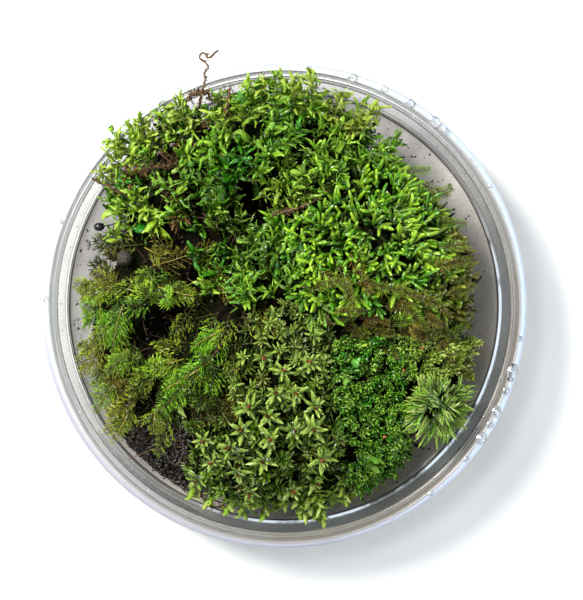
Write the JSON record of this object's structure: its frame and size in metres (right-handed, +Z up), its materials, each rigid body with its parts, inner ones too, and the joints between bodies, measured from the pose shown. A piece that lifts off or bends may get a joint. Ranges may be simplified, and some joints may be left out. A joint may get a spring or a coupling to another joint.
{
  "type": "moss clump",
  "caption": "Clump of mixed wet mosses on dark soil, heaped above the lip of a shallow round clear plastic tub, with dead stems and a spore capsule.",
  "frame": {"origin": "centre of the tub's flat underside, which rests on a table", "axes": "+Z up, out of the tub's mouth; +Y towards the side where the dead sprig stands over the lip; +X towards the lime green catkin moss"},
  "size_m": [0.117, 0.1187, 0.0403],
  "materials": {
    "clear_plastic": "clear, glossy, with water drops on the lip",
    "leafy_moss": "wet, glossy, translucent broad leaves",
    "catkin_moss": "damp, lime green, blunt scaly shoots",
    "feather_moss": "damp, olive green fern-like fronds",
    "star_moss": "wet, pale green leaf stars with red-brown middles",
    "turf_moss": "wet, dark green, small leaves",
    "needle_moss": "light yellow-green narrow leaves",
    "olive_strands": "olive brown, feathery, damp",
    "dark_soil": "wet, crumbly, near black",
    "dead_stems": "dry, brown, thin",
    "black_capsule": "glossy black",
    "dry_bud": "matt brown-grey, fibrous"
  },
  "bodies": {
    "root": {"clear_tub": "clear_plastic", "soil_mat": "dark_soil", "leafy_moss": "leafy_moss", "catkin_moss": "catkin_moss", "feather_moss": "feather_moss", "star_moss": "star_moss", "turf_moss": "turf_moss", "needle_moss": "needle_moss", "trailing_strands": "olive_strands", "dead_sprig": "dead_stems", "top_twig": "dead_stems", "left_twig": "dead_stems", "dead_stem": "dead_stems", "cross_twig": "dead_stems", "red_stem": "dead_stems", "spore_capsule": "black_capsule", "dry_bud": "dry_bud"}
  },
  "joints": []
}
